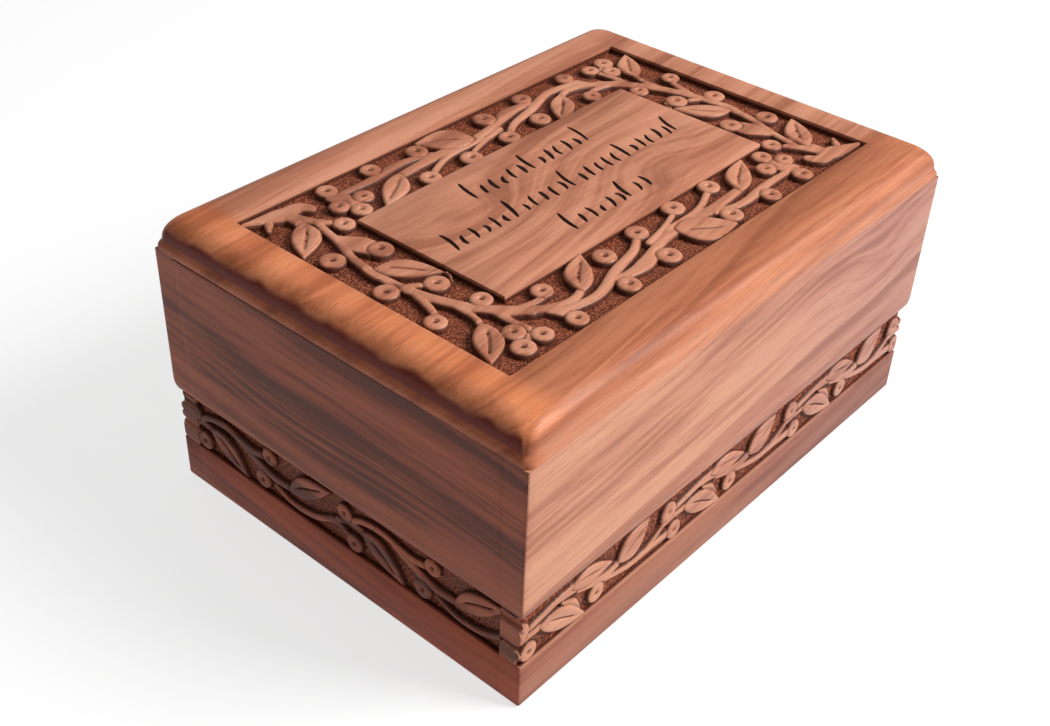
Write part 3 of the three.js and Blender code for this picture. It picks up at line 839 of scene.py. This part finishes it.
class Nodes:
    """Short ways to add and join a material's nodes."""

    def __init__(self, material):
        material.use_nodes = True
        self.tree = material.node_tree
        self.tree.nodes.clear()

    def add(self, kind, inputs=None, **settings):
        node = self.tree.nodes.new(kind)
        for key, value in settings.items():
            setattr(node, key, value)
        for key, value in (inputs or {}).items():
            self.join(node.inputs[key], value)
        return node

    def join(self, socket, value):
        if isinstance(value, bpy.types.NodeSocket):
            self.tree.links.new(value, socket)
        else:
            socket.default_value = value

    def sum(self, operation, a, b=0.0, c=0.0, clamp=False):
        node = self.add("ShaderNodeMath", {0: a, 1: b, 2: c}, operation=operation, use_clamp=clamp)
        return node.outputs[0]

    def vector(self, operation, a, b=(0, 0, 0), scale=1.0):
        node = self.add("ShaderNodeVectorMath", {0: a, 1: b, 3: scale}, operation=operation)
        return node.outputs["Value" if operation in ("LENGTH", "DOT_PRODUCT") else "Vector"]

    def span(self, value, low, high, to_low=0.0, to_high=1.0):
        """The value's place between low and high, eased and held to the ends."""
        node = self.add("ShaderNodeMapRange", {"Value": value, "From Min": low, "From Max": high,
                                               "To Min": to_low, "To Max": to_high},
                        interpolation_type="SMOOTHSTEP")
        return node.outputs["Result"]

    def noise(self, vector, detail=3.0, roughness=0.55, lines=False):
        kind = "1D" if lines else "3D"
        key = "W" if lines else "Vector"
        node = self.add("ShaderNodeTexNoise", {key: vector, "Scale": 1.0, "Detail": detail,
                                               "Roughness": roughness}, noise_dimensions=kind)
        return node.outputs["Fac"]

    def colour_noise(self, vector, detail=2.0):
        node = self.add("ShaderNodeTexNoise", {"Vector": vector, "Scale": 1.0, "Detail": detail})
        return node.outputs["Color"]

    def mix(self, share, a, b, blend="MIX"):
        node = self.add("ShaderNodeMix", {0: share, 6: a, 7: b}, data_type="RGBA", blend_type=blend)
        return node.outputs[2]

    def ramp(self, share, stops):
        node = self.add("ShaderNodeValToRGB", {"Fac": share})
        elements = node.color_ramp.elements
        while len(elements) < len(stops):
            elements.new(0.5)
        for element, (place, colour) in zip(elements, stops):
            element.position = place
            element.color = colour
        return node.outputs["Color"]


def shaded(n, colour, place, spans, shade):
    """The colour multiplied by a shade where the place has passed through every span."""
    share = 1.0
    for way, low, high in spans:
        share = n.sum("MULTIPLY", n.span(n.vector("DOT_PRODUCT", place, way), low, high), share)
    return n.mix(share, colour, n.mix(1.0, colour, (*shade, 1), "MULTIPLY"))


# How fast the layers of the figure change in a millimetre, along the grain and then across it
BROAD_SCALE = (0.006, 0.016, 0.016)
PATCH_SCALE = (0.01, 0.06, 0.06)
FAINT_SCALE = (0.02, 0.35, 0.35)
FIBRE_SCALE = (0.035, 1.6, 1.6)
PORE_SCALE = (0.16, 2.4, 2.4)
BROKEN_SCALE = (0.03, 0.3, 0.3)
FIGURE_SCALE = 0.085
STREAK_SCALE = 0.5
FLECK_SCALE = 1.3

# Colours that all the woods share
FIBRE_STOPS = [(0.25, (0.84, 0.82, 0.8, 1)), (0.75, (1.13, 1.13, 1.13, 1))]
# Stain of the sunk ground, darkened further as painted shade in the recesses
GROUND_STAIN_AND_SHADE_STOPS = [(0.36, linear(40, 11, 6)), (0.5, linear(98, 42, 24)), (0.64, linear(158, 88, 58))]
PORE_COLOUR = linear(96, 46, 30)
# Partly darker end grain, partly painted shade on the lid's end roundings
END_GRAIN_AND_SHADE_COLOUR = linear(98, 24, 5)
# Partly a darker grain line, partly painted shade on the lid's front rounding
EDGE_LINE_AND_SHADE_COLOUR = linear(128, 58, 26)
# Painted shade on the walls of the carving
WALL_SHADE_COLOUR = linear(52, 17, 8)
BURN_COLOUR = linear(34, 13, 8)


def figured(n, millimetres, grain_along_y, across, warp, stops, knots, seed):
    """Streaks along the grain that flow round the knots: their colour, the broad patches and the bent place.
    across is how fast the figure changes each way. A knot is a place, a reach each way and a strength."""
    turned = n.add("ShaderNodeMapping", {"Vector": millimetres, "Location": (seed * 37.0, seed * 11.0, 0),
                                         "Rotation": (0, 0, math.pi / 2 if grain_along_y else 0)})
    grain = turned.outputs["Vector"]
    broad = n.colour_noise(n.vector("MULTIPLY", grain, BROAD_SCALE))
    bend = n.vector("MULTIPLY", n.vector("SUBTRACT", broad, (0.5, 0.5, 0.5)), (0, warp, warp))
    flowed = n.vector("ADD", grain, bend)
    phase = n.vector("DOT_PRODUCT", flowed, across)
    for spot, reach, strength in knots:
        off = n.vector("SUBTRACT", millimetres, spot)
        away = n.vector("LENGTH", n.vector("MULTIPLY", off, tuple(1 / r for r in reach)))
        fall = n.sum("EXPONENT", n.sum("MULTIPLY", n.sum("MULTIPLY", away, away), -1.0))
        phase = n.sum("MULTIPLY_ADD", fall, strength, phase)

    figure = n.noise(n.sum("MULTIPLY", phase, FIGURE_SCALE), 2.0, 0.5, lines=True)
    streak = n.noise(n.sum("MULTIPLY", phase, STREAK_SCALE), 3.0, 0.6, lines=True)
    patch = n.noise(n.vector("MULTIPLY", flowed, PATCH_SCALE), 3.0)
    faint = n.noise(n.vector("MULTIPLY", flowed, FAINT_SCALE), 3.0, 0.6)
    tone = n.sum("MULTIPLY_ADD", n.sum("SUBTRACT", patch, 0.5), 0.6, figure)
    depth = n.span(patch, 0.4, 0.65, 0.55, 0.15)
    tone = n.sum("MULTIPLY_ADD", n.sum("SUBTRACT", streak, 0.5), depth, tone)
    tone = n.sum("MULTIPLY_ADD", n.sum("SUBTRACT", faint, 0.5), 0.5, tone)
    return n.ramp(n.span(tone, 0.2, 0.8, 0.2, 0.82), stops), patch, flowed


def end_grain_and_shade_band(n, colour, millimetres, normal, patch):
    """A dark, wavering band just below the top, on the faces that look along the box: partly the darker end
    grain, partly painted shade on the rounding.
    """
    below_top = n.sum("SUBTRACT", HEIGHT, n.vector("DOT_PRODUCT", millimetres, (0, 0, 1)))
    wave = n.sum("MULTIPLY_ADD", n.sum("SUBTRACT", patch, 0.5), 7.0, below_top)
    band = n.sum("MULTIPLY", n.span(wave, 3.2, 5.8), n.span(below_top, 10.0, 8.2, 0.15, 1.0))
    along = n.sum("ABSOLUTE", n.vector("DOT_PRODUCT", normal, (1, 0, 0)))
    band = n.sum("MULTIPLY", band, n.span(along, 0.2, 0.6))
    sideways = n.sum("ABSOLUTE", n.vector("DOT_PRODUCT", normal, (0, 1, 0)))
    band = n.sum("MULTIPLY", band, n.span(sideways, 0.4, 0.15))
    return n.mix(band, colour, END_GRAIN_AND_SHADE_COLOUR)


def edge_line_and_shade(n, colour, millimetres, normal):
    """A broken line along the rounding of the front edge: partly a darker grain line, partly painted shade
    where the rounding reflects less light than the flats.
    """
    outward = n.vector("DOT_PRODUCT", normal, (0, -1, 0))
    line = n.sum("MULTIPLY", n.span(outward, 0.3, 0.48), n.span(outward, 0.72, 0.55))
    broken = n.span(n.noise(n.vector("MULTIPLY", millimetres, BROKEN_SCALE)), 0.35, 0.6)
    return n.mix(n.sum("MULTIPLY", n.sum("MULTIPLY", line, broken), 0.6), colour, EDGE_LINE_AND_SHADE_COLOUR)


def wood(name, grain_along_y, across, stops, warp, seed, knots=(), shades=(), edges_with_grain_and_shade=False):
    """Rosewood with fine fibre and pores, a stained sunk ground darkened further by painted shade, painted
    shade on the walls of its carving, and burnt strokes.
    """
    material = bpy.data.materials.new(name)
    n = Nodes(material)
    millimetres = n.vector("SCALE", n.add("ShaderNodeTexCoord").outputs["Object"], scale=1 / MM)
    colour, patch, flowed = figured(n, millimetres, grain_along_y, across, warp, stops, knots, seed)
    fibre = n.noise(n.vector("MULTIPLY", flowed, FIBRE_SCALE), 4.0, 0.7)
    colour = n.mix(1.0, colour, n.ramp(fibre, FIBRE_STOPS), "MULTIPLY")
    pore = n.span(n.noise(n.vector("MULTIPLY", flowed, PORE_SCALE), 2.0, 0.6), 0.6, 0.72)
    colour = n.mix(n.sum("MULTIPLY", pore, 0.3), colour, PORE_COLOUR)
    for spans, shade in shades:
        colour = shaded(n, colour, millimetres, spans, shade)
    # Bands on the lid's roundings, picked by which way the surface faces: partly grain, partly painted shade
    if edges_with_grain_and_shade:
        normal = n.add("ShaderNodeNewGeometry").outputs["Normal"]
        colour = end_grain_and_shade_band(n, colour, millimetres, normal, patch)
        colour = edge_line_and_shade(n, colour, millimetres, normal)

    relief = n.add("ShaderNodeAttribute", attribute_name="relief").outputs["Fac"]
    # The sunk ground: its stain with lighter flecks, darkened further as painted shade in the recesses
    fleck = n.noise(n.vector("SCALE", millimetres, scale=FLECK_SCALE), 2.0, 0.6)
    sunk = n.span(relief, 0.85, 0.25)
    colour = n.mix(n.sum("MULTIPLY", sunk, 0.94), colour, n.ramp(fleck, GROUND_STAIN_AND_SHADE_STOPS))
    # Painted shade on the steep walls of the carving
    wall = n.sum("MULTIPLY", n.span(relief, 0.05, 0.2), n.span(relief, 0.78, 0.6))
    colour = n.mix(n.sum("MULTIPLY", wall, 0.75), colour, WALL_SHADE_COLOUR)
    burn = n.add("ShaderNodeAttribute", attribute_name="burn").outputs["Fac"]
    colour = n.mix(burn, colour, BURN_COLOUR)

    bump_height = n.sum("MULTIPLY_ADD", pore, -0.6, n.sum("MULTIPLY", fibre, 0.5))
    bump_height = n.sum("MULTIPLY_ADD", n.sum("MULTIPLY", fleck, sunk), 3.0, bump_height)
    bump = n.add("ShaderNodeBump", {"Strength": 0.35, "Distance": 0.12 * MM, "Height": bump_height})
    rough = n.span(n.sum("ADD", fibre, n.sum("MULTIPLY", sunk, 0.5)), 0.3, 1.1, 0.44, 0.7)
    shader = n.add("ShaderNodeBsdfPrincipled", {
        "Base Color": colour, "Roughness": rough, "Normal": bump.outputs["Normal"],
        "Coat Weight": 0.08, "Coat Roughness": 0.36, "Specular IOR Level": 0.16})
    n.add("ShaderNodeOutputMaterial", {"Surface": shader.outputs["BSDF"]})
    return material


# The whole

END_REACH = 2.5
END_FACING = 0.72


def dress(shell, name, turn, node, material, end_material=None):
    """Lays the piece over its solid. Faces at the ends of a long board take the end material."""
    piece = shell.mesh(name, turn)
    piece.data.materials.append(material)
    if end_material:
        piece.data.materials.append(end_material)
        for face in piece.data.polygons:
            at_end = abs(face.center[0]) > LENGTH / 2 * MM - END_REACH * MM
            face.material_index = int(at_end and abs(face.normal[0]) > END_FACING)
    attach(piece, "root")
    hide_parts(node)
    return piece


LID_STOPS = [(0.0, linear(117, 62, 42)), (0.3, linear(152, 90, 63)), (0.55, linear(170, 105, 75)),
             (0.8, linear(179, 115, 84)), (1.0, linear(185, 123, 94))]
LONG_STOPS = [(0.0, linear(123, 72, 53)), (0.28, linear(155, 99, 77)), (0.5, linear(175, 118, 93)),
              (0.75, linear(187, 133, 105)), (1.0, linear(180, 128, 105))]
# The end boards' wood is darker than the long boards' partly as painted shade, for the end that faces away
# from the light
END_STOPS = [(0.0, linear(55, 21, 12)), (0.3, linear(95, 42, 26)), (0.5, linear(130, 63, 41)),
             (0.75, linear(150, 78, 51)), (1.0, linear(164, 84, 53))]
GRAIN = (-0.1, 0.8, 1.0)
END_GRAIN = (0.08, 0.5, 1.0)
BOTTOM_GRAIN = (0.0, 1.0, 0.6)

# Places where a wood is shaded: a way, and where along it the shade sets in and is full
UP, FORWARD, BACK, LEFT, RIGHT = (0, 0, 1), (0, -1, 0), (0, 1, 0), (-1, 0, 0), (1, 0, 0)
LID_FLANK = (UP, HEIGHT - 5, HEIGHT - 9)
SKIRT_BELOW = (UP, SKIRT + 1, SKIRT - 1)
# Painted shade for the lid's end flanks
LID_END_SHADE = (0.95, 0.78, 0.68)
LID_SHADES = [
    # Painted sheen: all of the lid but the front and left rails turns paler and pinker, standing in for
    # white light reflected off the finish
    ([(RIGHT, -106, -98), (BACK, -64, -58)], (1.14, 1.34, 1.6)),
    # Painted sheen: the lid's front flank, below its rounding, turns paler and pinker like the front board
    ([LID_FLANK, (FORWARD, 80, 85)], (1.1, 1.25, 1.4)),
    # Painted shade: the lid's end flanks, below their rounding, are darkened
    ([LID_FLANK, (LEFT, 112, 119)], LID_END_SHADE),
    ([LID_FLANK, (RIGHT, 112, 119)], LID_END_SHADE),
    # Painted light: the top of the left rail's rounding is lightened, as where the key light catches it
    ([(LEFT, 98, 110), (UP, HEIGHT - 6, HEIGHT - 2)], (1.4, 1.3, 1.1)),
]
# The first tint is a painted sheen of reflected light: towards the right end the long boards turn duller and
# pinker. The second darkens the skirt.
LONG_SHADES = [([(RIGHT, -60, 120)], (0.78, 0.8, 0.96)), ([SKIRT_BELOW], (0.6, 0.48, 0.46))]
END_SHADES = [([SKIRT_BELOW], (1.1, 0.8, 0.55))]
LID_KNOTS = [((-45, 4, HEIGHT), (34, 16, 12), 16), ((30, -6, HEIGHT), (30, 20, 12), -14)]
LONG_KNOTS = [((84, -DEPTH / 2, 78), (24, 30, 15), 11)]
END_KNOTS = [((-LENGTH / 2, 30, 60), (30, 60, 20), 8)]

lid_wood = wood("lid_wood", False, GRAIN, LID_STOPS, warp=12, seed=2, knots=LID_KNOTS,
                shades=LID_SHADES, edges_with_grain_and_shade=True)
long_wood = wood("long_side_wood", False, GRAIN, LONG_STOPS, warp=12, seed=2, knots=LONG_KNOTS,
                 shades=LONG_SHADES)
end_wood = wood("end_wood", True, END_GRAIN, END_STOPS, warp=10, seed=3, knots=END_KNOTS,
                shades=END_SHADES)
bottom_wood = wood("bottom_wood", False, BOTTOM_GRAIN, END_STOPS, warp=12, seed=4)

dress(lid(), "carved_lid", 0.0, "lid", lid_wood)


def level(u):
    """How far the top of a board lies under the seam: nowhere."""
    return 0 * u


def dipped(u):
    """The left end board has worn a little low towards the back, where the seam gapes."""
    return SEAM_DIP * np.clip(0.5 - u / (2 * INSIDE_Y), 0, 1)


for name, turn, node, seed in (("carved_front_board", 0.0, "front_board", 21),
                               ("carved_back_board", math.pi, "back_board", 22)):
    board = side_board(LENGTH / 2, DEPTH / 2, INSIDE_Y, LONG_UNIT, LENGTH, True, level, seed)
    dress(board, name, turn, node, long_wood, end_wood)
for name, turn, node, dip, seed in (
        ("carved_left_end_board", -math.pi / 2, "left_end_board", dipped, 23),
        ("carved_right_end_board", math.pi / 2, "right_end_board", level, 24)):
    board = side_board(INSIDE_Y - HAIRLINE, LENGTH / 2, INSIDE_X, END_UNIT, DEPTH, False, dip, seed)
    dress(board, name, turn, node, end_wood)

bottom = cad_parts["bottom_board"]
bottom.data.materials.clear()
bottom.data.materials.append(bottom_wood)


# Floor, light and camera

FLOOR_HALF = 6.0
FLOOR_GREY = 0.3
FLOOR_GLOW = 0.7
WORLD_STRENGTH = 0.15
CAMERA_PLACE = (-0.3549, -0.2781, 0.3650)
CAMERA_DEGREES = (53.52, -1.93, -48.70)
CAMERA_LENS = 48.23


def floor():
    corner_ways = ((-1, -1), (1, -1), (1, 1), (-1, 1))
    mesh = bpy.data.meshes.new("floor")
    mesh.from_pydata([(x * FLOOR_HALF, y * FLOOR_HALF, 0) for x, y in corner_ways], [], [(0, 1, 2, 3)])
    plane = bpy.data.objects.new("floor", mesh)
    bpy.context.scene.collection.objects.link(plane)
    material = bpy.data.materials.new("pale_floor")
    n = Nodes(material)
    shader = n.add("ShaderNodeBsdfPrincipled", {
        "Base Color": (FLOOR_GREY, FLOOR_GREY, FLOOR_GREY, 1), "Roughness": 0.9, "Specular IOR Level": 0.1,
        "Emission Color": (1, 1, 1, 1), "Emission Strength": FLOOR_GLOW})
    n.add("ShaderNodeOutputMaterial", {"Surface": shader.outputs["BSDF"]})
    mesh.materials.append(material)


def softbox(name, place, target, size, power):
    data = bpy.data.lights.new(name, "AREA")
    data.shape = "SQUARE"
    data.size = size
    data.energy = power
    light = bpy.data.objects.new(name, data)
    light.location = place
    light.rotation_euler = (Vector(target) - Vector(place)).to_track_quat("-Z", "Y").to_euler()
    bpy.context.scene.collection.objects.link(light)


def camera():
    data = bpy.data.cameras.new("camera")
    data.sensor_width = 36
    data.lens = CAMERA_LENS
    data.clip_start = 0.01
    view = bpy.data.objects.new("camera", data)
    view.location = CAMERA_PLACE
    view.rotation_euler = tuple(math.radians(a) for a in CAMERA_DEGREES)
    bpy.context.scene.collection.objects.link(view)
    bpy.context.scene.camera = view


floor()
middle = (0, 0, HEIGHT * MM / 2)
softbox("key", (0.62, -1.0, 1.05), middle, 0.7, 38)
softbox("sky", (-0.1, 0.5, 1.4), middle, 1.2, 5)
world = bpy.data.worlds.new("studio")
world.use_nodes = True
world.node_tree.nodes["Background"].inputs["Color"].default_value = (1, 1, 1, 1)
world.node_tree.nodes["Background"].inputs["Strength"].default_value = WORLD_STRENGTH
bpy.context.scene.world = world
bpy.context.scene.view_settings.view_transform = "Standard"
camera()
